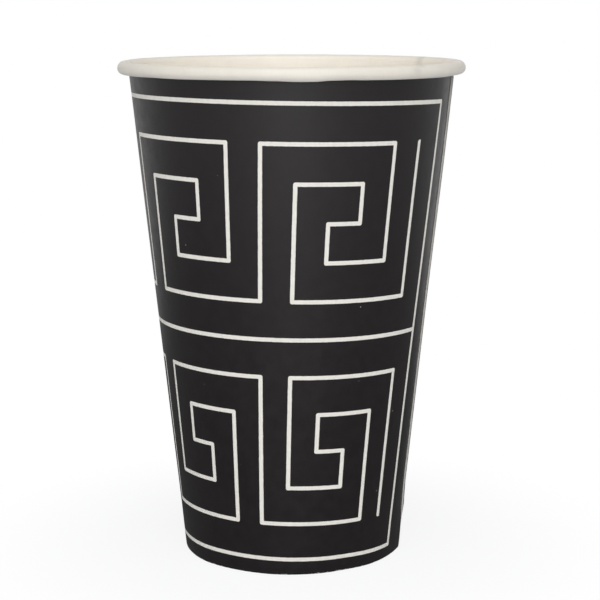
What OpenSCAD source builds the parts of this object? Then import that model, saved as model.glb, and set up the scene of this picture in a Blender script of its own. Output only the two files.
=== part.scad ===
// Single-wall paper cup. A fan-shaped blank of board is wrapped into a cone and lapped at a side seam,
// its top edge is curled outward into the rolled rim, and its lower edge is folded in around the skirt of
// a dished base. The origin is at the centre of the standing edge, with +Z up and the front toward -Y.

/* [Cup] */
// Height over the rolled rim
cup_h = 115; // [80:1:150]
// Outside diameter over the rolled rim
rim_d = 80; // [68:1:98]
// Outside diameter of the wall, carried down to the standing edge
foot_d = 51.1; // [40:0.1:62]

/* [Board] */
// Thickness of the sidewall's board
wall_t = 0.36; // [0.25:0.01:0.5]
// Thickness of the base's board
base_t = 0.32; // [0.25:0.01:0.5]
// Thickness of the glue line between the base's skirt and the board on each side of it
glue_t = 0.02; // [0.01:0.01:0.05]

/* [Rolled rim] */
// Diameter of the roll
roll_d = 3; // [2.8:0.1:4]
// Angle that the board turns through in the roll, in degrees
roll_turn = 430; // [380:5:450]
// Gap between the roll's turns
roll_gap = 0.12; // [0.05:0.01:0.2]

/* [Side seam] */
// Direction of the outer flap's edge, in degrees from the front toward +X
seam_angle = 78; // [0:0.5:359.5]
// Width of the lap under the rim
seam_lap = 8.4; // [5:0.2:14]
// Width under the rim over which the outer flap climbs onto the inner one
seam_climb = 5; // [4:0.25:7]
// Height over which the press at the foot flattens the lap
seam_fade = 6; // [3:0.5:10]

/* [Foot] */
// Height of the folded-in hem above the standing edge
hem_h = 5.5; // [4:0.5:8]
// Height of the skirt left bare between the hem and the base's underside
skirt_reveal = 2; // [1:0.5:4]
// Radius inside the bend where the base turns down into its skirt
base_bend_r = 0.6; // [0.3:0.1:1.2]
// Radius inside the creases of the folded hem
crease_r = 0.05; // [0.02:0.01:0.08]

/* [Hidden] */
$fn = 180;

// Longest step of a curve, in degrees
arc_step = 10;
// Part of the board's thickness by which the lapped strip is sunk into the wall that carries it
sunk_share = 0.25;
// Part of the climb by which the cut that slopes it runs on past each of its ends
over_share = 0.3;
// Thicknesses of board by which that cut stands clear of the flap
clear_share = 4;

// The roll: its radius, the radius of the board's middle in its first half turn, and what each turn loses
roll_r = roll_d / 2;
roll_mid_r = roll_r - wall_t / 2;
roll_pitch = wall_t + roll_gap;
roll_centre = [rim_d / 2 - roll_r, cup_h - roll_r];

// The wall's lean is set by its outer face, which runs from the standing edge to the roll
foot_point = [foot_d / 2, 0];
foot_to_roll = roll_centre - foot_point;
lean = atan2(foot_to_roll.x, foot_to_roll.y) - asin((roll_r - wall_t) / norm(foot_to_roll));
up_heading = 90 - lean;
down_heading = up_heading - 180;

// The hem lies inside the wall with the base's skirt between them
skirt_depth = wall_t + glue_t + base_t / 2;
hem_depth = wall_t + glue_t + base_t + glue_t + wall_t / 2;
fold_r = crease_r + wall_t / 2;
recess_h = hem_h + skirt_reveal;
bend_mid_r = base_bend_r + base_t / 2;

// The lap's lower end, where it is at full thickness, and its upper end under the roll
lap_low = hem_h;
lap_full = hem_h + seam_fade;
lap_high = roll_centre.y - roll_r + wall_t;
// The step inside it closes over the same height as it nears the roll
step_high = roll_centre.y;
step_full = step_high - seam_fade;
lap_r = face_r(lap_high, 0);
lap_deg = seam_lap / lap_r * 180 / PI;
climb_deg = seam_climb / lap_r * 180 / PI;
outer_edge = seam_angle - 90;
inner_edge = outer_edge + lap_deg;
climb_start = inner_edge + climb_deg;
cut_clear = wall_t * clear_share;

// Unit vector at an angle, measured from the radius toward the height
function unit(deg) = [cos(deg), sin(deg)];

// Radius at a height of the cone that lies a depth inside the wall's outer face
function face_r(z, depth) = foot_point.x + z * tan(lean) - depth / cos(lean);

// The same place as a point of the section
function face_point(z, depth) = [face_r(z, depth), z];

// A section point turned about the cup's axis
function turned(p, deg) = [p.x * cos(deg), p.x * sin(deg), p.y];

// Places along the middle of a board: each is a point and the heading there. Turns to the left are
// positive, and the centre lies on the side that the board turns to.
function bend(centre, r, from, to) =
    let (steps = ceil(abs(to - from) / arc_step), side = to > from ? -90 : 90)
    [for (i = [0:steps]) let (heading = from + (to - from) * i / steps)
        [centre + r * unit(heading + side), heading]];

// Outline of a board of thickness t along its places
function board_outline(places, t) = concat(
    [for (p = places) p[0] + unit(p[1] + 90) * t / 2],
    [for (i = [len(places) - 1:-1:0]) places[i][0] - unit(places[i][1] + 90) * t / 2]);

// The roll is a spiral of half turns about two centres, half a pitch apart
function roll_place(turn) =
    let (half = floor(turn / 180), heading = up_heading - turn)
    let (shift = half % 2 == 0 ? 0 : roll_pitch / 2)
    let (centre = roll_centre + shift * unit(-lean))
    [centre + (roll_mid_r - half * roll_pitch / 2) * unit(heading + 90), heading];

// The sidewall's board, from the hem's top edge, round the fold, up the wall and through the roll
function sidewall_places() =
    let (fold_z = wall_t / 2 + fold_r, roll_steps = ceil(roll_turn / arc_step))
    concat(
        [[face_point(hem_h, hem_depth), down_heading]],
        bend(face_point(fold_z, hem_depth - fold_r), fold_r, down_heading, 0),
        bend(face_point(fold_z, wall_t / 2 + fold_r), fold_r, 0, up_heading),
        [for (i = [0:roll_steps]) roll_place(roll_turn * i / roll_steps)]);

// The base's board, from its centre, round the bend and down the skirt to the fold
function base_places() =
    let (floor_z = recess_h + base_t / 2, skirt_end = wall_t + crease_r + glue_t)
    concat(
        [[[0, floor_z], 0]],
        bend(face_point(floor_z - bend_mid_r, skirt_depth + bend_mid_r), bend_mid_r, 0, down_heading),
        [[face_point(skirt_end, skirt_depth), down_heading]]);

// Wedge that grows from a line at one angle back to a section of four points at a lower one
module climbing_wedge(section, from, to) {
    line = [section[0], section[3]];
    points = concat([for (p = line) turned(p, from)], [for (p = section) turned(p, to)]);
    inner_face = [5, 2, 0, 1];
    outer_faces = [[3, 1, 0], [3, 4, 1]];
    ends = [[5, 4, 3, 2], [2, 3, 0], [4, 5, 1]];
    polyhedron(points, concat([inner_face], outer_faces, ends));
}

// The lapped strip's section: it thins out at the foot and ends under the roll
function lap_section() =
    let (sunk = wall_t * sunk_share)
    [face_point(lap_low, sunk),
     face_point(lap_full, -wall_t),
     face_point(lap_high, -wall_t),
     face_point(lap_high, sunk)];

// The room left inside the climbing board, which closes at the foot and at the roll
function step_section() =
    let (deep = wall_t * (1 + sunk_share))
    [face_point(lap_low, deep),
     face_point(lap_full, 0),
     face_point(step_full, 0),
     face_point(step_high, deep)];

// Corners at a height of what slopes the climb: the slope runs from inside the wall to the flap's face
function slope_corners(z) =
    let (start = turned(face_point(z, wall_t * sunk_share), climb_start))
    let (end = turned(face_point(z, -wall_t), inner_edge), over = (end - start) * over_share)
    [start - over, end + over, turned(face_point(z, -cut_clear), climb_start)];

// Prism that is taken off the flap to slope its climb
module climb_slope() {
    low = slope_corners(lap_low - cut_clear);
    high = slope_corners(lap_high + cut_clear);
    caps = [[0, 1, 2], [3, 5, 4]];
    slope = [[1, 0, 3], [1, 3, 4]];
    sides = [[2, 1, 4], [2, 4, 5], [0, 2, 5], [0, 5, 3]];
    polyhedron(concat(low, high), concat(caps, slope, sides));
}

// The outer flap comes round from the back, climbs onto the inner one and ends at its own cut edge
module outer_flap() {
    difference() {
        rotate([0, 0, climb_start])
            rotate_extrude(angle = -(lap_deg + climb_deg))
                polygon(lap_section());
        climb_slope();
    }
}

module sidewall() {
    color([0.13, 0.12, 0.125])
        difference() {
            union() {
                // The turned board starts opposite the lap
                rotate([0, 0, outer_edge + 180])
                    rotate_extrude()
                        polygon(board_outline(sidewall_places(), wall_t));
                outer_flap();
            }
            climbing_wedge(step_section(), climb_start, inner_edge);
        }
}

module base() {
    color([0.93, 0.91, 0.87])
        rotate_extrude()
            polygon(board_outline(base_places(), base_t));
}

sidewall();
base();
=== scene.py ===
# %% [markdown]
# # A paper cup
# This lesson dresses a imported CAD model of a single-wall paper cup for a studio picture. The real cup is
# made of two pieces of board. A fan-shaped printed blank is wrapped into the sidewall, and a round disc
# with a turned-down edge is glued in as the base. We model both as sheets of board, because that is what
# they are, and let the operators of bmesh bend them as the cup machine does.

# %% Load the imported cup
import math

import bmesh
import bpy
from mathutils import Matrix, Vector, noise


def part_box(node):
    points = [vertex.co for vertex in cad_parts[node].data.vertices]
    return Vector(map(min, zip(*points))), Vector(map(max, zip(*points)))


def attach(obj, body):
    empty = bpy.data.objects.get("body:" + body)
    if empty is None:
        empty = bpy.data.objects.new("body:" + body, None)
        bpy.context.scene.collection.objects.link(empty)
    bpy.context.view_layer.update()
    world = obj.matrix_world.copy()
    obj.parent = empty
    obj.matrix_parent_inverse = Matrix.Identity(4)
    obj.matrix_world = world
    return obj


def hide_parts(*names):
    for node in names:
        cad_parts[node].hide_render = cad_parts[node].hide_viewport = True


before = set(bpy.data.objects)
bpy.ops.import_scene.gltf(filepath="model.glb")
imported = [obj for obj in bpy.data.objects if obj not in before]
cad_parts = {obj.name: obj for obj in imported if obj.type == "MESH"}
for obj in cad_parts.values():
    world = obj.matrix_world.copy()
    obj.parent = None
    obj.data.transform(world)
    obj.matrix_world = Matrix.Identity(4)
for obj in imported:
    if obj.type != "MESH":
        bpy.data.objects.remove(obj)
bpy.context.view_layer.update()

# %% [markdown]
# ## Sizes
# The height and the rim come from the frame, so the looks always fit the CAD model. The board's own
# thicknesses and the fold's sizes are too small to read from a box, so they are written here once, in
# millimetres, and everything else is worked out from them.

# %% The cup's sizes
MM = 0.001
rim_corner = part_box("sidewall")[1]
cup_h = rim_corner.z
rim_r = rim_corner.x
foot_r = 25.55 * MM
wall_t = 0.36 * MM
base_t = 0.32 * MM
glue_t = 0.02 * MM
roll_r = 1.5 * MM
roll_gap = 0.12 * MM
hem_h = 5.5 * MM
crease_r = 0.05 * MM

roll_centre = Vector((rim_r - roll_r, 0, cup_h - roll_r))
foot_to_roll = roll_centre - Vector((foot_r, 0, 0))
lean = math.atan2(foot_to_roll.x, foot_to_roll.z) - math.asin((roll_r - wall_t) / foot_to_roll.length)
lean_deg = math.degrees(lean)


def face_place(height, depth):
    """A place of the cup's section, on the cone that lies a depth inside the wall's printed face."""
    return Vector((foot_r + height * math.tan(lean) - depth / math.cos(lean), 0, height))


print(f"cup {cup_h / MM:.1f} mm tall, rim radius {rim_r / MM:.1f} mm, wall leans {lean_deg:.2f} degrees")

# %% [markdown]
# ## Camera
# The picture looks at the cup from a little above, from about 0.39 m in front of its axis. A camera was
# fitted to the outline of the rim and the foot, which gives its height, its tilt and a lens of about
# 101 mm on a 36 mm sensor. The cup stands slightly left of the middle, so the camera is turned a little
# over a quarter of a degree instead of shifting its lens, which keeps other views centred.

# %% Place the camera
LENS_MM, SENSOR_MM = 101.42, 36
CAMERA_PLACE = (0, -0.39251, 0.12969)
# Pan, tilt and roll in degrees, each about one of the camera's own axes
CAMERA_TURNS = ((-0.280, "Z"), (79.781, "X"), (-0.107, "Z"))
camera_data = bpy.data.cameras.new("studio_camera")
camera_data.sensor_width = SENSOR_MM
camera_data.lens = LENS_MM
camera = bpy.data.objects.new("studio_camera", camera_data)
bpy.context.collection.objects.link(camera)
camera_lay = Matrix.Translation(CAMERA_PLACE)
for degrees, axis in CAMERA_TURNS:
    camera_lay = camera_lay @ Matrix.Rotation(math.radians(degrees), 4, axis)
camera.matrix_world = camera_lay
bpy.context.scene.camera = camera
bpy.context.scene.view_settings.view_transform = "Standard"
print("camera at", tuple(round(c, 4) for c in camera.location))

# %% [markdown]
# ## Floor, room and lamps
# A product picture on white has two jobs: a floor and a room that look white, and light on the cup that is
# only as strong as its colours need. We keep the two apart. Light Path tells the room and the floor when the
# camera looks at them, and then they are white at strength 1. Near the cup the floor mixes some plain shading
# into that white, so the cup keeps a soft shadow, and further away it fades to even white. The room's own
# light is stronger from both sides than from elsewhere. Reflections see the room and the floor too, but
# dimmer close to the cup and brightest behind it, because satin black ink shows what surrounds it: it is
# darker at the foot, lighter below the rim and silvery along its outline. To the sides, the mirrored floor
# stays dim further out than in front and behind.


# %% Helpers that add a node and fill its sockets
def fill(tree, socket, value):
    """Links a socket from another node's socket, or sets it to a plain value."""
    if isinstance(value, bpy.types.NodeSocket):
        tree.links.new(value, socket)
    else:
        socket.default_value = value


def add_node(tree, kind, **settings):
    """Adds a node. Each setting is one of the node's properties, or one of its sockets by name."""
    node = tree.nodes.new(kind)
    for name, value in settings.items():
        if hasattr(node, name):
            setattr(node, name, value)
        else:
            fill(tree, node.inputs[name.replace("_", " ")], value)
    return node


def sum_of(tree, operation, *values):
    """A Math node's result. Each value is a number or another node's socket."""
    node = add_node(tree, "ShaderNodeMath", operation=operation)
    for socket, value in zip(node.inputs, values):
        fill(tree, socket, value)
    return node.outputs[0]


def length_of(tree, vector):
    """The length of the vector that a socket gives."""
    node = add_node(tree, "ShaderNodeVectorMath", operation="LENGTH")
    fill(tree, node.inputs[0], vector)
    return node.outputs["Value"]


def ranged(tree, value, low, high, start, end, smooth=False):
    """Maps a socket's values from low and high to start and end, and keeps them between these."""
    node = add_node(tree, "ShaderNodeMapRange", Value=value, From_Min=low, From_Max=high,
                    To_Min=start, To_Max=end)
    node.interpolation_type = "SMOOTHSTEP" if smooth else "LINEAR"
    return node.outputs[0]


# %% Helpers that tell who looks and mix two shaders
def seen_directly(tree):
    """Two sockets: 1 where the camera or a transmitted ray looks, and 1 where a reflection does."""
    path = add_node(tree, "ShaderNodeLightPath").outputs
    by_eye = sum_of(tree, "MAXIMUM", path["Is Camera Ray"], path["Is Transmission Ray"])
    return by_eye, path["Is Glossy Ray"]


def mixed(tree, share, first, second):
    """Mixes two shaders by a share."""
    node = add_node(tree, "ShaderNodeMixShader", Fac=share)
    tree.links.new(first.outputs[0], node.inputs[1])
    tree.links.new(second.outputs[0], node.inputs[2])
    return node


# %% The white room
WHITE = (1, 1, 1, 1)
# Each range gives where it starts and ends, and the values there
ROOM_SIDE_LIGHT = (0.35, 1.0, 0.29, 0.62)
ROOM_BACK_MIRRORED = (0.72, 0.98, 0.20, 1.0)
room = bpy.data.worlds.new("white_room")
room.use_nodes = True
room_tree = room.node_tree
room_tree.nodes.clear()
room_way = add_node(room_tree, "ShaderNodeTexCoord").outputs["Generated"]
room_ways = add_node(room_tree, "ShaderNodeSeparateXYZ", Vector=room_way).outputs
side_light = ranged(room_tree, sum_of(room_tree, "ABSOLUTE", room_ways["X"]), *ROOM_SIDE_LIGHT)
back_light = ranged(room_tree, room_ways["Y"], *ROOM_BACK_MIRRORED)
room_light = add_node(room_tree, "ShaderNodeBackground", Color=WHITE, Strength=side_light)
room_mirrored = add_node(room_tree, "ShaderNodeBackground", Color=WHITE, Strength=back_light)
room_seen = add_node(room_tree, "ShaderNodeBackground", Color=WHITE, Strength=1.0)
by_eye, by_mirror = seen_directly(room_tree)
room_mix = mixed(room_tree, by_eye, mixed(room_tree, by_mirror, room_light, room_mirrored), room_seen)
add_node(room_tree, "ShaderNodeOutputWorld", Surface=room_mix.outputs[0])
bpy.context.scene.world = room
print("room nodes:", len(room_tree.nodes))


# %% A helper that finishes a mesh
def finished_piece(name, piece_bm):
    """Turns a bmesh into an object at the origin."""
    mesh = bpy.data.meshes.new(name)
    piece_bm.to_mesh(mesh)
    piece_bm.free()
    piece = bpy.data.objects.new(name, mesh)
    bpy.context.collection.objects.link(piece)
    return piece


# %% The pale floor
FLOOR_SIZE = 6.0
FLOOR_COLOUR = (0.81, 0.83, 0.86, 1)
FLOOR_WHITENING = (0.028, 0.09, 0.86, 1.0)
FLOOR_MIRRORED = (0.14, 0.40, 0.16, 0.84)
SIDEWAYS_SHARE = 0.45
floor_bm = bmesh.new()
bmesh.ops.create_grid(floor_bm, x_segments=1, y_segments=1, size=FLOOR_SIZE)
floor = finished_piece("studio_floor", floor_bm)
floor_paint = bpy.data.materials.new("pale_floor")
floor_paint.use_nodes = True
floor_tree = floor_paint.node_tree
floor_tree.nodes.clear()
floor_spot = add_node(floor_tree, "ShaderNodeTexCoord").outputs["Object"]
floor_plain = add_node(floor_tree, "ShaderNodeBsdfDiffuse", Color=FLOOR_COLOUR)
floor_glow = add_node(floor_tree, "ShaderNodeEmission", Color=WHITE, Strength=1.0)
floor_white = ranged(floor_tree, length_of(floor_tree, floor_spot), *FLOOR_WHITENING, smooth=True)
floor_seen = mixed(floor_tree, floor_white, floor_plain, floor_glow)
floor_lay = add_node(floor_tree, "ShaderNodeMapping", Vector=floor_spot, Scale=(SIDEWAYS_SHARE, 1, 1))
floor_dim = ranged(floor_tree, length_of(floor_tree, floor_lay.outputs[0]), *FLOOR_MIRRORED)
floor_mirrored = add_node(floor_tree, "ShaderNodeEmission", Color=WHITE, Strength=floor_dim)
by_eye, by_mirror = seen_directly(floor_tree)
floor_mix = mixed(floor_tree, by_eye, mixed(floor_tree, by_mirror, floor_plain, floor_mirrored), floor_seen)
add_node(floor_tree, "ShaderNodeOutputMaterial", Surface=floor_mix.outputs[0])
floor.data.materials.append(floor_paint)
print("floor nodes:", len(floor_tree.nodes))

# %% Two soft boxes
LAMP_SIZE = 0.6
LAMP_AIM = Vector((0, 0, 0.08))
SOFT_BOXES = [("front_soft_box", (0.0, -1.15, 0.40), 5.12), ("high_soft_box", (0.0, -0.45, 1.0), 4.83)]
for name, place, watts in SOFT_BOXES:
    lamp_data = bpy.data.lights.new(name, "AREA")
    lamp_data.shape = "SQUARE"
    lamp_data.size = LAMP_SIZE
    lamp_data.energy = watts
    lamp = bpy.data.objects.new(name, lamp_data)
    bpy.context.collection.objects.link(lamp)
    lamp_turn = (LAMP_AIM - Vector(place)).to_track_quat("-Z", "Y")
    lamp.matrix_world = Matrix.Translation(place) @ lamp_turn.to_matrix().to_4x4()
    print(name, "at", place, "with", watts, "watts")

# %% [markdown]
# ## The sidewall's section
# Cut the cup in half and the sidewall is one strip of board: a hem inside the foot, two tight creases under
# it, the long wall and the rolled rim. We could draw that outline point by point. It is easier to walk along
# it as the machine bends it: a vertex is extruded for each straight run and spun about a centre for each
# bend. The walk follows the printed face, and the board gets its thickness later.


# %% Walk along the board
def run_to(section_bm, end, place):
    """Carries the section straight on to a place, by extruding its last vertex."""
    end = bmesh.ops.extrude_vert_indiv(section_bm, verts=[end])["verts"][0]
    end.co = place
    return end


def bend_about(section_bm, end, centre, degrees, steps):
    """Carries the section round a bend, by spinning its last vertex about the bend's centre."""
    turned = bmesh.ops.spin(section_bm, geom=[end], cent=centre, axis=(0, 1, 0), dvec=(0, 0, 0),
                            angle=math.radians(degrees), steps=steps, use_duplicate=False)
    return next(part for part in turned["geom_last"] if isinstance(part, bmesh.types.BMVert))


def in_order(first):
    """The section's vertices from its first one to its last."""
    chain = [first]
    before = None
    while True:
        ahead = [edge.other_vert(chain[-1]) for edge in chain[-1].link_edges]
        ahead = [vert for vert in ahead if vert is not before]
        if not ahead:
            return chain
        before = chain[-1]
        chain.append(ahead[0])


# %% Hem and creases
HEM_SHARES = (0.12, 0.5, 0.88)
CREASE_STEPS = 6
fold_r = crease_r + wall_t
hem_depth = 2 * wall_t + 2 * glue_t + base_t
across_roll = Vector((math.cos(lean), 0, -math.sin(lean)))

wall_bm = bmesh.new()
row_tag = wall_bm.verts.layers.int.new("row")
turn_tag = wall_bm.verts.layers.float.new("turn")
blank_map = wall_bm.loops.layers.uv.new("Blank")
bake_map = wall_bm.loops.layers.uv.new("OFBake")
hem_top = wall_bm.verts.new(face_place(hem_h, hem_depth))
tip = hem_top
inner_crease = face_place(fold_r, hem_depth - fold_r)
outer_crease = face_place(fold_r, fold_r)
for share in HEM_SHARES:
    tip = run_to(wall_bm, tip, face_place(hem_h + (fold_r - hem_h) * share, hem_depth))
hem_end = run_to(wall_bm, tip, inner_crease - fold_r * across_roll)
tip = bend_about(wall_bm, hem_end, inner_crease, -(90 + lean_deg), CREASE_STEPS)
tip = run_to(wall_bm, tip, Vector((outer_crease.x, 0, 0)))
wall_start = bend_about(wall_bm, tip, outer_crease, -(90 - lean_deg), CREASE_STEPS)
print("hem from", round(hem_h / MM, 2), "mm down to the table")

# %% Wall and roll
WALL_STEPS = 24
ROLL_STEP_DEG = 10
ROLL_END_DEG = 70
seam_fade = 6 * MM
lap_low = hem_h
lap_full = hem_h + seam_fade
lap_high = cup_h - 2 * roll_r + wall_t
wall_top = 110.4 * MM
roll_pitch = wall_t + roll_gap
print_r = roll_r - wall_t

# The rows lie closer where the lap begins and ends
wall_heights = [2 * MM, 3.8 * MM, lap_low, 7 * MM, 8.5 * MM, 10 * MM, lap_full]
wall_heights += [lap_full + (wall_top - lap_full) * step / WALL_STEPS for step in range(1, WALL_STEPS + 1)]
wall_heights += [111.2 * MM, 111.8 * MM, lap_high]
tip = wall_start
for height in wall_heights:
    tip = run_to(wall_bm, tip, face_place(height, 0))
roll_start = run_to(wall_bm, tip, roll_centre - print_r * across_roll)
tip = roll_start
second_centre = roll_centre + across_roll * roll_pitch / 2
for centre, degrees in ((roll_centre, 180), (second_centre, 180), (roll_centre, ROLL_END_DEG)):
    tip = bend_about(wall_bm, tip, centre, degrees, degrees // ROLL_STEP_DEG)

section = in_order(hem_top)
hem_end_row = section.index(hem_end)
wall_row = section.index(wall_start)
roll_row = section.index(roll_start)
last_row = len(section) - 1
print("rows:", len(section), "wall from", wall_row, "roll from", roll_row)

# %% [markdown]
# ## Rows and stations
# Later steps need to know where on the blank a vertex lies, even after it has been bent. Each vertex of the
# section carries its row number in a layer of the mesh, and the spin copies that to every station round the
# cup. The station's own angle is stored as well. It counts the turn of the sheet from its inner edge at the
# side seam, round by the front and the back, to the outer flap.

# %% Number the rows
for number, vert in enumerate(section):
    vert[row_tag] = number
row_height = [vert.co.z for vert in section]
row_length = [0.0]
for before, after in zip(section, section[1:]):
    row_length.append(row_length[-1] + (after.co - before.co).length)
row_length = [length - row_length[wall_row] for length in row_length]
print("board from hem to roll:", round((row_length[-1] - row_length[0]) / MM, 1), "mm")

# %% Spin the section round the cup
STATIONS = 432
WELD = 0.001 * MM
SAME_TURN = 1e-5
SEAM_DEG = 78
seam_lap = 8.4 * MM
seam_climb = 5.0 * MM
lap_r = face_place(lap_high, 0).x
lap_turn = seam_lap / lap_r
climb_turn = seam_climb / lap_r
seam_turn = math.radians(SEAM_DEG - 90) + lap_turn


def spin_round(section_bm, stations):
    """Spins a whole section once round the cup's axis and merges it where it closes."""
    bmesh.ops.spin(section_bm, geom=section_bm.verts[:] + section_bm.edges[:], cent=(0, 0, 0),
                   axis=(0, 0, 1), dvec=(0, 0, 0), angle=math.tau, steps=stations, use_merge=True,
                   use_duplicate=False)
    bmesh.ops.remove_doubles(section_bm, verts=section_bm.verts[:], dist=WELD)
    bmesh.ops.recalc_face_normals(section_bm, faces=section_bm.faces[:])


def turn_of(place):
    """Angle of a place round the cup, back from the seam's inner edge, between 0 and a full turn."""
    turn = (seam_turn - math.atan2(place.y, place.x)) % math.tau
    return 0.0 if min(turn, math.tau - turn) < SAME_TURN else turn


to_seam = Matrix.Rotation(seam_turn, 3, "Z")
bmesh.ops.rotate(wall_bm, verts=wall_bm.verts[:], cent=(0, 0, 0), matrix=to_seam)
spin_round(wall_bm, STATIONS)
for vert in wall_bm.verts:
    vert[turn_tag] = turn_of(vert.co)
print("ring faces:", len(wall_bm.faces))

# %% [markdown]
# ## The side seam
# The blank's two straight edges are lapped and sealed together. We open the ring along the inner edge, from
# above the pressed foot to just under the roll, and spin the free edge on by the width of the lap. That gives
# the outer flap, which still is part of the same sheet.

# %% Open the ring and carry the outer flap over the inner one
FLAP_STEPS = 12
low_row = wall_row + 1 + wall_heights.index(lap_low)
high_row = roll_row - 1


def on_slit(edge):
    """True for an edge of the ring that lies along the seam's inner edge, within the lap's rows."""
    return all(vert[turn_tag] == 0.0 and low_row <= vert[row_tag] <= high_row for vert in edge.verts)


bmesh.ops.split_edges(wall_bm, edges=[edge for edge in wall_bm.edges if on_slit(edge)])
free_edges = []
for edge in wall_bm.edges:
    if edge.is_boundary and on_slit(edge) and turn_of(edge.link_faces[0].calc_center_median()) > math.pi:
        free_edges.append(edge)
free_verts = list({vert for edge in free_edges for vert in edge.verts})
for vert in free_verts:
    if low_row < vert[row_tag] < high_row:
        vert[turn_tag] = math.tau
ring_verts = set(wall_bm.verts)
bmesh.ops.spin(wall_bm, geom=free_edges + free_verts, cent=(0, 0, 0), axis=(0, 0, 1), dvec=(0, 0, 0),
               angle=-lap_turn, steps=FLAP_STEPS, use_duplicate=False)
flap_verts = [vert for vert in wall_bm.verts if vert not in ring_verts]
for vert in flap_verts:
    vert[turn_tag] = math.tau + turn_of(vert.co)
bmesh.ops.recalc_face_normals(wall_bm, faces=wall_bm.faces[:])
print("free edges:", len(free_edges), "flap vertices:", len(flap_verts))

# %% [markdown]
# ## Small moves of the board
# Board is never quite round. The wall waves by up to about a tenth of a millimetre, which breaks up its
# reflections. The outer flap climbs onto the inner one by the board's thickness, tangent at first and then
# with a crease where it meets the edge below. The clamp that sealed the lap has pressed the inner flap in,
# and its jaw left a crease beside the lap, while the outer flap's cut edge springs up by some hundredths of
# a millimetre. At the foot a press has flattened the lap, so there the climb fades out. The hem is knurled,
# with upright ribs that the machine's wheel pressed in.


# %% The wall's wave
def eased(value, start, end):
    """Goes smoothly from 0 at start to 1 at end."""
    share = min(max((value - start) / (end - start), 0.0), 1.0)
    return share * share * (3 - 2 * share)


def outward(turn):
    """Unit vector across the wall, away from the cup, at a turn from the seam."""
    around = seam_turn - turn
    return Vector((math.cos(around) * math.cos(lean), math.sin(around) * math.cos(lean), -math.sin(lean)))


wave_depth = 0.11 * MM
WAVES_ROUND = 1.6
WAVE_TALL_MM = 42
WAVE_SEED = Vector((3.1, 7.7, 1.3))
WAVE_BEGINS = (4 * MM, 16 * MM)
WAVE_ENDS = (104 * MM, 111 * MM)


def wall_wave(turn, height):
    """How far the wall stands out of its cone at a place."""
    around = seam_turn - turn
    across, back = math.cos(around) * WAVES_ROUND, math.sin(around) * WAVES_ROUND
    place = Vector((across, back, height / MM / WAVE_TALL_MM))
    kept = eased(height, *WAVE_BEGINS) * (1 - eased(height, *WAVE_ENDS))
    return wave_depth * noise.noise(place + WAVE_SEED) * kept


print("wave at mid height:", round(wall_wave(math.pi, cup_h / 2) / MM, 3), "mm")

# %% The lap and the clamp's jaw
glue_line = 0.015 * MM
LAP_ENDS = (111 * MM, lap_high)
JAW_DEG = 64
JAW_REACH = math.radians(20)
JAW_FALL = 1.5
jaw_ridge = 0.28 * MM
RIDGE_BEGINS = (35 * MM, 85 * MM)
RIDGE_ENDS = (109 * MM, lap_high)
SUNK_BEGINS = (8.6 * MM, 14 * MM)
SUNK_EASES = (55 * MM, 95 * MM)
SUNK_LOSS = 0.5
jaw_turn = seam_turn - math.radians(JAW_DEG - 90)


def lap_rise(height):
    """How far the outer flap stands on the inner one at a height."""
    return (wall_t + glue_line) * eased(height, lap_low, lap_full) * (1 - eased(height, *LAP_ENDS))


def jaw_press(turn, height):
    """How far the clamp's jaw moved the inner flap: out to a crease beside the lap, and in toward the lap."""
    ridge = jaw_ridge * eased(height, *RIDGE_BEGINS) * (1 - eased(height, *RIDGE_ENDS))
    sunk = lap_rise(height) * (1 - SUNK_LOSS * eased(height, *SUNK_EASES)) * eased(height, *SUNK_BEGINS)
    if turn > jaw_turn:
        return ridge * max(1 - (turn - jaw_turn) / JAW_REACH, 0.0) ** JAW_FALL
    share = min((jaw_turn - turn) / (jaw_turn - lap_turn), 1.0)
    return ridge * (1 - share) - sunk * share


print("inner flap pressed in", round(-jaw_press(0, cup_h / 2) / MM, 3), "mm at mid height")

# %% Move the wall, the flap and the hem
flap_least = 0.012 * MM
edge_spring = 0.045 * MM
SPRING_BEGINS_SHARE = 0.8
rib_depth = 0.06 * MM
RIBS = STATIONS // 4
RIB_PHASE = 0.6
spring_turns = (math.tau + SPRING_BEGINS_SHARE * lap_turn, math.tau + lap_turn)
flap_set = set(flap_verts) | {vert for vert in free_verts if low_row < vert[row_tag] < high_row}
for vert in wall_bm.verts:
    row, turn = vert[row_tag], vert[turn_tag]
    height = row_height[row]
    if wall_row < row < roll_row:
        vert.co += outward(turn) * wall_wave(turn, height)
        if low_row <= row <= high_row:
            if vert in flap_set:
                stand = max(lap_rise(height), flap_least) + jaw_press(0, height)
                spring = edge_spring * eased(turn, *spring_turns)
                vert.co += outward(turn) * (stand + spring * lap_rise(height) / wall_t)
            elif turn < math.pi:
                vert.co += outward(turn) * jaw_press(turn, height)
            else:
                climb = 1 - (math.tau - turn) / climb_turn
                vert.co += outward(turn) * (lap_rise(height) + jaw_press(0, height)) * max(climb, 0.0) ** 2
    elif 0 < row < hem_end_row:
        rib = math.sin(turn * RIBS + RIB_PHASE)
        vert.co -= outward(turn) * rib_depth * (1 + rib)
print("ribs in the hem:", RIBS)

# %% [markdown]
# ## The rim's unevenness
# A rolled rim of board is springy, and its lower edge hangs a little lower in some places than in others.
# The list below gives the hang in millimetres at angles from the front, as measured at the near side, and
# the far side gets a smooth seeded variation of the same size. The roll is stretched downward by it, so its
# top stays level for a lid. A second list pulls the roll in where the mouth is a little out of round.

# %% Lengths measured round the cup
FAR_WAVES = 2.2
FAR_SEED = 4.4
FAR_BLEND_DEG = 22


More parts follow.
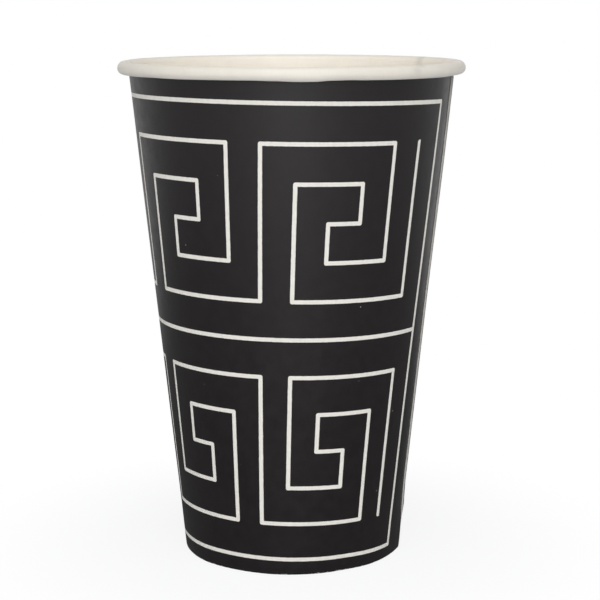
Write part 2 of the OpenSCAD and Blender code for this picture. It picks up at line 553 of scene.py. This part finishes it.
def by_angle(measured, degrees, middle, spread):
    """A length in metres by its angle from the front. Past the list's ends it varies about a middle."""
    degrees = (degrees + 180) % 360 - 180
    for (start, low), (end, high) in zip(measured, measured[1:]):
        if start <= degrees <= end:
            return MM * (low + (high - low) * eased(degrees, start, end))
    around = math.radians(degrees)
    place = Vector((math.cos(around) * FAR_WAVES, math.sin(around) * FAR_WAVES, FAR_SEED))
    far = middle + spread * noise.noise(place)
    start, near = measured[-1] if degrees > 0 else (-measured[0][0], measured[0][1])
    return MM * (near + (far - near) * eased(abs(degrees), start, start + FAR_BLEND_DEG))


# %% Let the roll's lower edge hang and pull the mouth out of round
RIM_HANG = [(-62, 0.10), (-50, 0.0), (-40, 0.08), (-25, 0.02), (-13, 0.0), (-5, 0.14), (2, 0.33), (7, 0.33),
            (13, 0.06), (18, 0.02), (25, 0.13), (34, 0.22), (46, 0.25), (58, 0.28), (70, 0.14)]
HANG_FAR = (0.12, 0.16)
HANG_ROLLED = (60, 170)
RIM_PULL = [(-140, 0.0), (-105, 0.11), (-88, 0.16), (-72, 0.12), (-45, 0.0), (140, 0.0)]
PULL_FAR = (0.0, 0.0)
PULL_ROLLED = (0, 90)
for vert in wall_bm.verts:
    row = vert[row_tag]
    if row > roll_row:
        from_front = math.degrees(seam_turn - vert[turn_tag]) + 90
        rolled = (row - roll_row) * ROLL_STEP_DEG
        share = (cup_h - vert.co.z) / (2 * roll_r)
        vert.co.z -= by_angle(RIM_HANG, from_front, *HANG_FAR) * share * eased(rolled, *HANG_ROLLED)
        from_axis = Vector((vert.co.x, vert.co.y, 0)).normalized()
        vert.co -= from_axis * by_angle(RIM_PULL, from_front, *PULL_FAR) * eased(rolled, *PULL_ROLLED)
print("hang at the front:", round(by_angle(RIM_HANG, 4, *HANG_FAR) / MM, 2), "mm")

# %% [markdown]
# ## The foot's unevenness
# A foot that was folded round a disc of board is not a true circle either. The next list tells how far its
# edge stands out at angles from the front. Right of the front it is a little flat, and at the seam the double
# board makes a small corner. The push fades out over the first centimetre above the table.

# %% Press the foot out of round
FOOT_STAND = [(-90, 0.04), (-69, 0.08), (-58, 0.17), (-50, 0.20), (-44, 0.07), (-38, -0.03), (-31, -0.12),
              (-20, -0.07), (-12, 0.02), (-2, 0.06), (4, -0.04), (12, -0.08), (19, -0.19), (24, -0.31),
              (29, -0.38), (34, -0.23), (39, -0.05), (45, 0.06), (58, 0.05), (64, 0.09), (70, 0.20),
              (76, 0.37), (84, 0.06), (100, 0.0)]
FOOT_FAR = (0.0, 0.15)
FOOT_FADES = (1.5 * MM, 11 * MM)


def foot_push(place):
    """How a place near the foot moves outward, away from the cup's axis."""
    from_front = math.degrees(math.atan2(place.x, -place.y))
    kept = 1 - eased(place.z, *FOOT_FADES)
    return Vector((place.x, place.y, 0)).normalized() * by_angle(FOOT_STAND, from_front, *FOOT_FAR) * kept


for vert in wall_bm.verts:
    if vert[row_tag] < roll_row:
        vert.co += foot_push(vert.co)
print("foot stands out", round(by_angle(FOOT_STAND, SEAM_DEG, *FOOT_FAR) / MM, 2), "mm at the seam")

# %% [markdown]
# ## Thickness
# So far the sheet is only its printed face. Solidify gives the board its thickness on the other side. Faces
# whose corners all existed before are the printed face, faces made only of new corners are the coated face,
# and the narrow faces between them are the cut edges. Each gets a material slot of its own.


# %% Give the board its thickness
def thicken(sheet_bm, thickness, face_slot, back_slot, cut_slot):
    """Gives a sheet its thickness behind its face, and the three kinds of face their material slots."""
    sheet = set(sheet_bm.verts)
    bmesh.ops.solidify(sheet_bm, geom=sheet_bm.faces[:], thickness=thickness)
    for face in sheet_bm.faces:
        old = sum(vert in sheet for vert in face.verts)
        face.material_index = face_slot if old == len(face.verts) else back_slot if old == 0 else cut_slot
        face.smooth = True
    for edge in sheet_bm.edges:
        edge.smooth = len({face.material_index for face in edge.link_faces}) < 2
    return sheet


PRINTED, COATED, CUT = 0, 1, 2
middle_row = (wall_row + roll_row) // 2
facing = 0.0
for face in wall_bm.faces:
    if face.verts[0][row_tag] == middle_row:
        place = face.calc_center_median()
        facing += face.normal.dot(Vector((place.x, place.y, 0)))
if facing < 0:
    bmesh.ops.reverse_faces(wall_bm, faces=wall_bm.faces[:])
sheet_verts = thicken(wall_bm, wall_t, PRINTED, COATED, CUT)
sides = [sum(face.material_index == kind for face in wall_bm.faces) for kind in (PRINTED, COATED, CUT)]
print("faces printed, coated, cut:", sides)

# %% [markdown]
# ## Two maps of the blank
# The print follows the blank, so the sheet needs a map of it. In the first map, U counts turns from the
# seam's inner edge and V is the way up the board in tenths of a metre, negative on the hem. The second map,
# OFBake, is for the exported model's picture: it lays the printed face, the coated face and the cut edges
# beside each other without overlap, and gives most of the room to the printed face, which has the finest
# lines.

# %% Where a row lies in the bake map
PRINT_BANDS = [(0, 0.006), (wall_row, 0.040), (roll_row, 0.660), (last_row, 0.690)]
COAT_BANDS = [(0, 0.700), (wall_row, 0.724), (roll_row, 0.894), (last_row, 0.966)]


def band_place(row, bands):
    """How high a row lies in the bake map, by its way along the board."""
    for (start, low), (end, high) in zip(bands, bands[1:]):
        if row <= end:
            share = (row_length[row] - row_length[start]) / (row_length[end] - row_length[start])
            return low + (high - low) * share
    return bands[-1][1]


print("printed wall takes", PRINT_BANDS[2][1] - PRINT_BANDS[1][1], "of the bake map's height")

# %% Where a turn lies in both maps
HALF_TURN = 0.5


def face_turns(face):
    """Turns of a face's corners, kept together where the face crosses the seam's inner edge."""
    turns = [vert[turn_tag] / math.tau for vert in face.verts]
    return [turn + 1 if max(turns) - turn > HALF_TURN else turn for turn in turns]


def pressed_turns(face, turns):
    """Turns for the print. Below the lap's end it is pressed flat, and there the outer flap's print shows."""
    below = all(vert[row_tag] <= low_row for vert in face.verts)
    lapped = sum(turns) / len(turns) < lap_turn / math.tau
    return [turn + 1 for turn in turns] if below and lapped else turns


print("the lap takes", round(lap_turn / math.tau, 4), "of a turn")

# %% Where the cut edges lie in the bake map
BLANK_TURNS = 1.04
HEM_STRIP, ROLL_STRIP, SIDE_STRIP, END_STRIP = 0.972, 0.980, 0.988, 0.996
STRIP_WIDE, NARROW_WIDE = 0.004, 0.003
SIDE_LONG, OTHER_SIDE = 0.48, 0.5
END_STRETCH, LOW_END, HIGH_END = 4, 0.5, 0.7


def cut_place(vert, turn, face):
    """Where a corner of a cut edge lies in the bake map: four narrow strips along its top."""
    inside = vert not in sheet_verts
    rows = {corner[row_tag] for corner in face.verts}
    if len(rows) == 1 and rows <= {0, last_row}:
        return turn / BLANK_TURNS, (HEM_STRIP if rows == {0} else ROLL_STRIP) + STRIP_WIDE * inside
    if len(rows) == 1:
        start = LOW_END if rows == {low_row} else HIGH_END
        return (turn - 1) * END_STRETCH + start, END_STRIP - NARROW_WIDE * inside
    way = SIDE_LONG * row_length[vert[row_tag]] / row_length[roll_row]
    return way + (OTHER_SIDE if turn < HALF_TURN else 0.0), SIDE_STRIP + NARROW_WIDE * inside


print("cut edges lie from", HEM_STRIP, "to", END_STRIP, "up the bake map")

# %% Write both maps
MAP_SCALE = 10
for face in wall_bm.faces:
    bands = PRINT_BANDS if face.material_index == PRINTED else COAT_BANDS
    turns = face_turns(face)
    for loop, turn, print_turn in zip(face.loops, turns, pressed_turns(face, turns)):
        row = loop.vert[row_tag]
        loop[blank_map].uv = (print_turn, row_length[row] * MAP_SCALE)
        if face.material_index == CUT:
            loop[bake_map].uv = cut_place(loop.vert, turn, face)
        else:
            loop[bake_map].uv = (turn / BLANK_TURNS, band_place(row, bands))
sidewall = finished_piece("cup_sidewall", wall_bm)
print("sidewall faces:", len(sidewall.data.polygons), "maps:", sidewall.data.uv_layers.keys())

# %% [markdown]
# ## The base
# The base is a disc whose edge is turned down into a skirt. The machine glues the skirt between the wall and
# the hem, so the floor of the cup sits above the table. Its section is walked in the same way, from the
# middle of the upper face out to the bend and down, and a full spin closes it. The disc is let sag and wave
# very slightly, as board does when it is clamped all round.

# %% Walk and spin the base
BASE_SHARES = (0.08, 0.2, 0.35, 0.5, 0.65, 0.8, 0.92, 1.0)
BASE_BEND_STEPS = 8
BASE_STATIONS = 216
skirt_reveal = 2 * MM
base_bend_r = 0.6 * MM
recess_h = hem_h + skirt_reveal
bend_r = base_bend_r + base_t
skirt_depth = wall_t + glue_t
bend_centre = face_place(recess_h + base_t - bend_r, skirt_depth + bend_r)

base_bm = bmesh.new()
tip = base_bm.verts.new((0, 0, recess_h + base_t))
for share in BASE_SHARES:
    tip = run_to(base_bm, tip, Vector((bend_centre.x * share, 0, recess_h + base_t)))
tip = bend_about(base_bm, tip, bend_centre, 90 + lean_deg, BASE_BEND_STEPS)
run_to(base_bm, tip, face_place(fold_r + glue_t, skirt_depth))
spin_round(base_bm, BASE_STATIONS)
near_middle = bend_centre.x * BASE_SHARES[0]
disc = next(face for face in base_bm.faces if face.calc_center_median().xy.length < near_middle)
if disc.normal.z < 0:
    bmesh.ops.reverse_faces(base_bm, faces=base_bm.faces[:])
print("base faces before its thickness:", len(base_bm.faces))

# %% Let the base sag and thicken it
BASE_WAVE_MM, BASE_SAG_MM = 0.12, 0.18
BASE_WAVE_WIDE_MM = 11
BASE_SEED = Vector((5.2, 1.9, 0.4))
SAG_ENDS = (0.8, 1.0)
PUSH_BEGINS = (0.7, 1.0)
DISC_SHARE = 0.99
UPPER, UNDER = 0, 1
for vert in base_bm.verts:
    reach = vert.co.xy.length / bend_centre.x
    if reach < DISC_SHARE:
        place = Vector((vert.co.x, vert.co.y, 0)) / MM / BASE_WAVE_WIDE_MM
        wave = BASE_WAVE_MM * noise.noise(place + BASE_SEED)
        vert.co.z += MM * (wave - BASE_SAG_MM * (1 - reach ** 2)) * (1 - eased(reach, *SAG_ENDS))
    vert.co += foot_push(vert.co) * eased(reach, *PUSH_BEGINS)
thicken(base_bm, base_t, UPPER, UNDER, UNDER)
base = finished_piece("cup_base", base_bm)
print("base faces:", len(base.data.polygons))

# %% [markdown]
# ## White board
# Cup board is warm white and slightly cloudy, because its fibres lie unevenly. Inside, a thin film of plastic
# keeps it dry and gives a soft gloss. Underneath it is bare and matt, and its cut edges are rougher and
# darker. One function makes all three, with a cloud of a few millimetres, a fine grain of fibres for the
# bump, and a little variation of the gloss.


# %% Helpers for a finish
def new_finish(name):
    """A new material, its node tree and its shader."""
    material = bpy.data.materials.new(name)
    material.use_nodes = True
    return material, material.node_tree, material.node_tree.nodes["Principled BSDF"]


def tinted(tree, share, first, second):
    """Mixes two colours by a share. Each colour is three numbers or another node's socket."""
    node = add_node(tree, "ShaderNodeMix", data_type="RGBA")
    tree.links.new(share, node.inputs["Factor"])
    for socket, value in zip((node.inputs[6], node.inputs[7]), (first, second)):
        fill(tree, socket, value if isinstance(value, bpy.types.NodeSocket) else (*value, 1))
    return node.outputs[2]


def cloud_of(tree, spot, scale, detail, roughness):
    """A cloudy pattern."""
    cloud = add_node(tree, "ShaderNodeTexNoise", Vector=spot, Scale=scale, Detail=detail, Roughness=roughness)
    return cloud.outputs["Fac"]


# Each cloud gives its scale, its detail and its roughness
FIBRE_CLOUD = (1000.0, 4.0, 0.6)
FIBRE_STRETCH = (1.2, 1.2, 0.7)


def fibre_grain(tree, spot):
    """A fine grain of fibres, drawn out upright."""
    lay = add_node(tree, "ShaderNodeMapping", Vector=spot, Scale=FIBRE_STRETCH)
    return cloud_of(tree, lay.outputs[0], *FIBRE_CLOUD)


# %% Make the white boards
BOARD_CLOUD = (260.0, 5.0, 0.55)
CLOUD_SHARE, GRAIN_SHARE = 0.6, 0.4
MOTTLE = (0.35, 0.65)
CLOUD_RANGE = (0.3, 0.7)
GLOSS_LESS, GLOSS_MORE = 0.05, 0.06
GRAIN_STRENGTH = 0.5
BOARD_SPECULAR = 0.4


def white_board(name, light, dark, gloss, grain_mm):
    """Bare or coated white board: two near colours in clouds, a roughness and a depth of grain."""
    material, tree, shader = new_finish(name)
    spot = add_node(tree, "ShaderNodeTexCoord").outputs["Object"]
    cloud = cloud_of(tree, spot, *BOARD_CLOUD)
    grains = fibre_grain(tree, spot)
    both = sum_of(tree, "MULTIPLY_ADD", grains, GRAIN_SHARE, sum_of(tree, "MULTIPLY", cloud, CLOUD_SHARE))
    colour = tinted(tree, ranged(tree, both, *MOTTLE, 0, 1), light, dark)
    tree.links.new(colour, shader.inputs["Base Color"])
    rough = ranged(tree, cloud, *CLOUD_RANGE, gloss - GLOSS_LESS, gloss + GLOSS_MORE)
    tree.links.new(rough, shader.inputs["Roughness"])
    bump = add_node(tree, "ShaderNodeBump", Height=grains, Strength=GRAIN_STRENGTH, Distance=grain_mm * MM)
    tree.links.new(bump.outputs[0], shader.inputs["Normal"])
    shader.inputs["Specular IOR Level"].default_value = BOARD_SPECULAR
    return material


coated_board = white_board("coated_board", light=(0.955, 0.905, 0.81), dark=(0.915, 0.86, 0.765),
                           gloss=0.44, grain_mm=0.02)
bare_board = white_board("bare_board", light=(0.84, 0.82, 0.77), dark=(0.77, 0.745, 0.69),
                         gloss=0.74, grain_mm=0.05)
cut_board = white_board("cut_board_edge", light=(0.58, 0.56, 0.52), dark=(0.44, 0.425, 0.39),
                        gloss=0.85, grain_mm=0.08)
print("white boards:", coated_board.name, bare_board.name, cut_board.name)

# %% [markdown]
# ## Painted shade on the rim
# The coat curled into the rim is the same as inside, but on the roll its colour is painted darker, as
# painted shade. Grey patches of painted shade lie across the rim too, for a crease's shadow line. The map
# of the blank tells where the roll begins, and each patch is a stretched ball in the cup's own coordinates.


# %% Paint shade on the roll's coat
def place_round(from_front, radius, height):
    """A place by its angle from the cup's front in degrees, and its radius and height in millimetres."""
    around = math.radians(from_front)
    return math.sin(around) * radius * MM, -math.cos(around) * radius * MM, height * MM


# Where the painted shade on the roll starts and ends, on the map of the blank, and the share of the colour it
# leaves
ROLL_SHADE_BEFORE, ROLL_SHADE_AFTER, ROLL_SHADE_KEEP = 0.004, 0.016, 0.82
coat_tree = coated_board.node_tree
coat_shader = coat_tree.nodes["Principled BSDF"]
coat_unshaded = coat_shader.inputs["Base Color"].links[0].from_socket
coat_blank = add_node(coat_tree, "ShaderNodeUVMap", uv_map="Blank")
coat_way = add_node(coat_tree, "ShaderNodeSeparateXYZ", Vector=coat_blank.outputs[0]).outputs["Y"]
roll_way = row_length[roll_row] * MAP_SCALE
# Painted shade: the roll's coat is darkened to a share of its colour, though it is the same coat as inside
coat_shade_kept = ranged(coat_tree, coat_way, roll_way - ROLL_SHADE_BEFORE, roll_way + ROLL_SHADE_AFTER, 1.0, ROLL_SHADE_KEEP,
                   smooth=True)
print("roll begins", round(row_length[roll_row] / MM, 1), "mm up the board")

# %% Paint patches of shade on the rim
# Each shade patch has an angle from the front, a radius, a height, its reach in three directions and a loss
RIM_SHADE_PATCHES = [(44.9, 38.9, 114.9, (2.1, 1.6, 1.3), 0.13), (42.4, 39.9, 113.9, (2.0, 1.2, 1.6), 0.11),
           (123.3, 37.9, 113.6, (2.3, 2.4, 3.4), 0.20)]
SHADE_PATCH_CORE = 0.1
coat_spot = add_node(coat_tree, "ShaderNodeTexCoord").outputs["Object"]
for from_front, radius, height, reach, loss in RIM_SHADE_PATCHES:
    lay = add_node(coat_tree, "ShaderNodeMapping", vector_type="TEXTURE", Vector=coat_spot,
                   Location=place_round(from_front, radius, height),
                   Rotation=(0, 0, math.radians(from_front)), Scale=[size * MM for size in reach])
    near = length_of(coat_tree, lay.outputs[0])
    # Painted shade: the coat darkens towards each patch's middle
    shade_patch = ranged(coat_tree, near, SHADE_PATCH_CORE, 1.0, 1 - loss, 1.0, smooth=True)
    coat_shade_kept = sum_of(coat_tree, "MULTIPLY", coat_shade_kept, shade_patch)
# The painted shade of the roll and of the patches scales the coat's colour
coat_shaded = add_node(coat_tree, "ShaderNodeVectorMath", operation="SCALE", Scale=coat_shade_kept)
coat_tree.links.new(coat_unshaded, coat_shaded.inputs[0])
coat_tree.links.new(coat_shaded.outputs[0], coat_shader.inputs["Base Color"])
print("shade_patches:", len(RIM_SHADE_PATCHES))

# %% [markdown]
# ## The print
# The outside is flooded with black ink, and the white lines are bare board that the ink leaves free. The
# ornament is a traditional Greek key: one line that folds back on itself, again and again round the cup. Two
# bands of it, mirrored about a stripe, stand in a thin frame that stops at the seam. It is drawn on a grid of
# 27 columns and 12 rows. Each stroke of the key is a straight piece, so the print is the distance to the
# nearest stroke, and ink covers all that is further away than half a line. The paper slipped a little on the
# press, so the frame is a touch crooked.

# %% One stroke as a node group
stroke_tree = bpy.data.node_groups.new("stroke_distance", "ShaderNodeTree")
for name in ("Across", "Up", "Middle Across", "Middle Up", "Half Across", "Half Up", "Column", "Row"):
    stroke_tree.interface.new_socket(name, in_out="INPUT", socket_type="NodeSocketFloat")
stroke_tree.interface.new_socket("Distance", in_out="OUTPUT", socket_type="NodeSocketFloat")
stroke_in = stroke_tree.nodes.new("NodeGroupInput").outputs
stroke_out = stroke_tree.nodes.new("NodeGroupOutput")
ways = []
for way, size in (("Across", "Column"), ("Up", "Row")):
    off = sum_of(stroke_tree, "SUBTRACT", stroke_in[way], stroke_in["Middle " + way])
    past = sum_of(stroke_tree, "SUBTRACT", sum_of(stroke_tree, "ABSOLUTE", off), stroke_in["Half " + way])
    length = sum_of(stroke_tree, "MULTIPLY", sum_of(stroke_tree, "MAXIMUM", past, 0.0), stroke_in[size])
    ways.append(sum_of(stroke_tree, "MULTIPLY", length, length))
stroke_far = sum_of(stroke_tree, "SQRT", sum_of(stroke_tree, "ADD", *ways))
stroke_tree.links.new(stroke_far, stroke_out.inputs["Distance"])
print("nodes in a stroke:", len(stroke_tree.nodes))

# %% Angle and height on the blank
printed_board, ink_tree, ink_shader = new_finish("printed_board")
blank_uv = add_node(ink_tree, "ShaderNodeUVMap", uv_map="Blank")
blank_ways = add_node(ink_tree, "ShaderNodeSeparateXYZ", Vector=blank_uv.outputs[0]).outputs


def ink_sum(operation, *values):
    """A Math node's result in the ink's node tree."""
    return sum_of(ink_tree, operation, *values)


up_scale = math.cos(lean) / (MM * MAP_SCALE)
up_start = fold_r * (1 + math.sin(lean)) / MM
front_deg = ink_sum("MULTIPLY_ADD", blank_ways["X"], -360.0, math.degrees(seam_turn) + 90)
front_turn = ink_sum("RADIANS", front_deg)
up_mm = ink_sum("MULTIPLY_ADD", blank_ways["Y"], up_scale, up_start)
wall_mm = ink_sum("MULTIPLY_ADD", up_mm, math.tan(lean), foot_r / MM)
print("print starts", round(up_start, 2), "mm above the table")

# %% The grid on the blank
COLUMNS, ROWS, KEY_COLUMNS = 27, 12, 5
MARGIN = 1.0
COLUMN_DEG, ROW_MM, LINE_MM = 12.417, 8.632, 0.92
FRAME_TURN_DEG, FRAME_LOW_MM = 273.57, 3.97
SLANT_DEG_PER_MM, SLANT_MIDDLE_MM = 0.049, 55.0
DRIFT_MM, DRIFT_FRONT_MM, DRIFT_SIDE_MM = 0.57, -0.5, 0.62
DRIFT_SHARE, DRIFT_SHARE_PER_MM = 0.72, 0.0026
slant = ink_sum("MULTIPLY", ink_sum("SUBTRACT", up_mm, SLANT_MIDDLE_MM), SLANT_DEG_PER_MM)
frame_deg = ink_sum("SUBTRACT", ink_sum("ADD", front_deg, FRAME_TURN_DEG), slant)
across = ink_sum("DIVIDE", frame_deg, COLUMN_DEG)
drift_front = ink_sum("MULTIPLY_ADD", ink_sum("COSINE", front_turn), DRIFT_FRONT_MM, DRIFT_MM)
drift_round = ink_sum("MULTIPLY_ADD", ink_sum("SINE", front_turn), DRIFT_SIDE_MM, drift_front)
drift_share = ink_sum("MULTIPLY_ADD", up_mm, DRIFT_SHARE_PER_MM, DRIFT_SHARE)
drift = ink_sum("MULTIPLY", drift_round, drift_share)
up = ink_sum("DIVIDE", ink_sum("SUBTRACT", ink_sum("ADD", up_mm, drift), FRAME_LOW_MM), ROW_MM)
column_mm = ink_sum("MULTIPLY", wall_mm, math.radians(COLUMN_DEG))
mirrored = ink_sum("ABSOLUTE", ink_sum("SUBTRACT", up, ROWS / 2))
key_across = ink_sum("WRAP", ink_sum("SUBTRACT", across, MARGIN), KEY_COLUMNS, 0.0)
key_up = ink_sum("SUBTRACT", mirrored, MARGIN)
print("grid of", COLUMNS, "by", ROWS, "cells,", COLUMN_DEG, "degrees by", ROW_MM, "mm")


# %% The strokes of the key and of the frame
def stroke(across_socket, up_socket, start, end):
    """Distance in millimetres to a straight stroke between two places of the grid."""
    node = add_node(ink_tree, "ShaderNodeGroup", node_tree=stroke_tree, Across=across_socket, Up=up_socket,
                    Column=column_mm, Row=ROW_MM)
    for way, low, high in (("Across", start[0], end[0]), ("Up", start[1], end[1])):
        node.inputs["Middle " + way].default_value = (low + high) / 2
        node.inputs["Half " + way].default_value = abs(high - low) / 2
    return node.outputs["Distance"]


KEY_PATH = [(0, 0), (0, 4), (4, 4), (4, 1), (2, 1), (2, 2), (3, 2), (3, 3), (1, 3), (1, 0), (5, 0), (5, 4)]
key_strokes = [stroke(key_across, key_up, start, end) for start, end in zip(KEY_PATH, KEY_PATH[1:])]
key_far = key_strokes[0]
for far in key_strokes[1:]:
    key_far = ink_sum("MINIMUM", key_far, far)
before_key = ink_sum("SUBTRACT", MARGIN, across)
after_key = ink_sum("SUBTRACT", across, COLUMNS - MARGIN)
beside_key = ink_sum("MULTIPLY", ink_sum("MAXIMUM", before_key, after_key), column_mm)
line_far = ink_sum("MAXIMUM", key_far, beside_key)
frame_strokes = [stroke(across, mirrored, (0, 0), (COLUMNS, 0)),
                 stroke(across, mirrored, (0, ROWS / 2), (COLUMNS, ROWS / 2)),
                 stroke(across, up, (0, 0), (0, ROWS)),
                 stroke(across, up, (COLUMNS, 0), (COLUMNS, ROWS))]
for far in frame_strokes:
    line_far = ink_sum("MINIMUM", line_far, far)
print("strokes:", len(key_strokes) + len(frame_strokes))

# %% [markdown]
# ## Ink on board
# Ink has a soft satin gloss and lies on the same fibres as the bare board. It is not even: it is a little
# cloudy, its edges creep along the fibres by some hundredths of a millimetre, and here and there a pinhole or
# a grain of dust shows pale. Where the board is folded at the foot, the ink has cracked and the fibres show.

# %% Lines with creeping edges
INK_CLOUD = (420.0, 4.0, 0.6)
CREEP_MM = 0.05
EDGE_MM = 0.06
ink_spot = add_node(ink_tree, "ShaderNodeTexCoord").outputs["Object"]
ink_grain = fibre_grain(ink_tree, ink_spot)
ink_cloud = cloud_of(ink_tree, ink_spot, *INK_CLOUD)
creep = ink_sum("MULTIPLY_ADD", ink_grain, 2 * CREEP_MM, -CREEP_MM)
line_edge = ink_sum("ADD", line_far, creep)
bare = ranged(ink_tree, line_edge, LINE_MM / 2 - EDGE_MM, LINE_MM / 2 + EDGE_MM, 1.0, 0.0, smooth=True)
print("lines of", LINE_MM, "mm")

# %% Dust and cracks
DUST_SCALE = 260.0
DUST_LEFT_OUT = 0.86
DUST_SPAN = (0.02, 0.045, 1.0, 0.0)
DUST_PALE = 0.45
# The fold's middle lies this far below the wall's start on the map of the blank
FOLD_MIDDLE = 0.004
FOLD_SPAN = (0.002, 0.011, 1.0, 0.0)
CRACK_SPAN = (0.50, 0.62, 0.0, 0.6)
dust = add_node(ink_tree, "ShaderNodeTexVoronoi", Vector=ink_spot, Scale=DUST_SCALE)
dust_pick = add_node(ink_tree, "ShaderNodeSeparateColor", Color=dust.outputs["Color"])
dust_near = ranged(ink_tree, dust.outputs["Distance"], *DUST_SPAN)
dust_some = ink_sum("GREATER_THAN", dust_pick.outputs[0], DUST_LEFT_OUT)
specks = ink_sum("MULTIPLY", ink_sum("MULTIPLY", dust_near, dust_some), DUST_PALE)
fold_off = ink_sum("ABSOLUTE", ink_sum("ADD", blank_ways["Y"], FOLD_MIDDLE))
fold_near = ranged(ink_tree, fold_off, *FOLD_SPAN)
fold_crack = ranged(ink_tree, ink_sum("MULTIPLY", fold_near, ink_grain), *CRACK_SPAN)
pale = ink_sum("MAXIMUM", bare, ink_sum("MAXIMUM", specks, fold_crack))
print("ink nodes so far:", len(ink_tree.nodes))

# %% Colour and gloss of the ink
INK_DARK, INK_LIGHT = (0.0082, 0.0050, 0.0066), (0.0117, 0.0084, 0.0100)
LINE_LIGHT, LINE_DARK = (0.845, 0.815, 0.75), (0.795, 0.765, 0.70)
INK_ROUGHNESS = (0.40, 0.48)
LINE_ROUGHER = 0.16
INK_BUMP_MM = 0.03
INK_SPECULAR = 0.53
ink_colour = tinted(ink_tree, ranged(ink_tree, ink_cloud, *CLOUD_RANGE, 0, 1), INK_DARK, INK_LIGHT)
line_colour = tinted(ink_tree, ranged(ink_tree, ink_grain, *CLOUD_RANGE, 0, 1), LINE_LIGHT, LINE_DARK)
ink_tree.links.new(tinted(ink_tree, pale, ink_colour, line_colour), ink_shader.inputs["Base Color"])
ink_rough = ranged(ink_tree, ink_cloud, *CLOUD_RANGE, *INK_ROUGHNESS)
line_rough = ink_sum("MULTIPLY_ADD", pale, LINE_ROUGHER, ink_rough)
ink_tree.links.new(line_rough, ink_shader.inputs["Roughness"])
ink_bump = add_node(ink_tree, "ShaderNodeBump", Height=ink_grain, Strength=GRAIN_STRENGTH,
                    Distance=INK_BUMP_MM * MM)
ink_tree.links.new(ink_bump.outputs[0], ink_shader.inputs["Normal"])
ink_shader.inputs["Specular IOR Level"].default_value = INK_SPECULAR
print("ink nodes:", len(ink_tree.nodes))

# %% [markdown]
# ## Dress the pieces
# Each piece takes its materials in the order of its slots, rides on the cup's one body, and replaces the CAD
# node that it stands for.

# %% Materials, riding and replacing
for finish in (printed_board, coated_board, cut_board):
    sidewall.data.materials.append(finish)
for finish in (coated_board, bare_board):
    base.data.materials.append(finish)
for piece, node, finish_slot in ((sidewall, "sidewall", "printed_board"), (base, "base", "white_board")):
    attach(piece, "root")
    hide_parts(node)
    print(piece.name, "stands for", node)
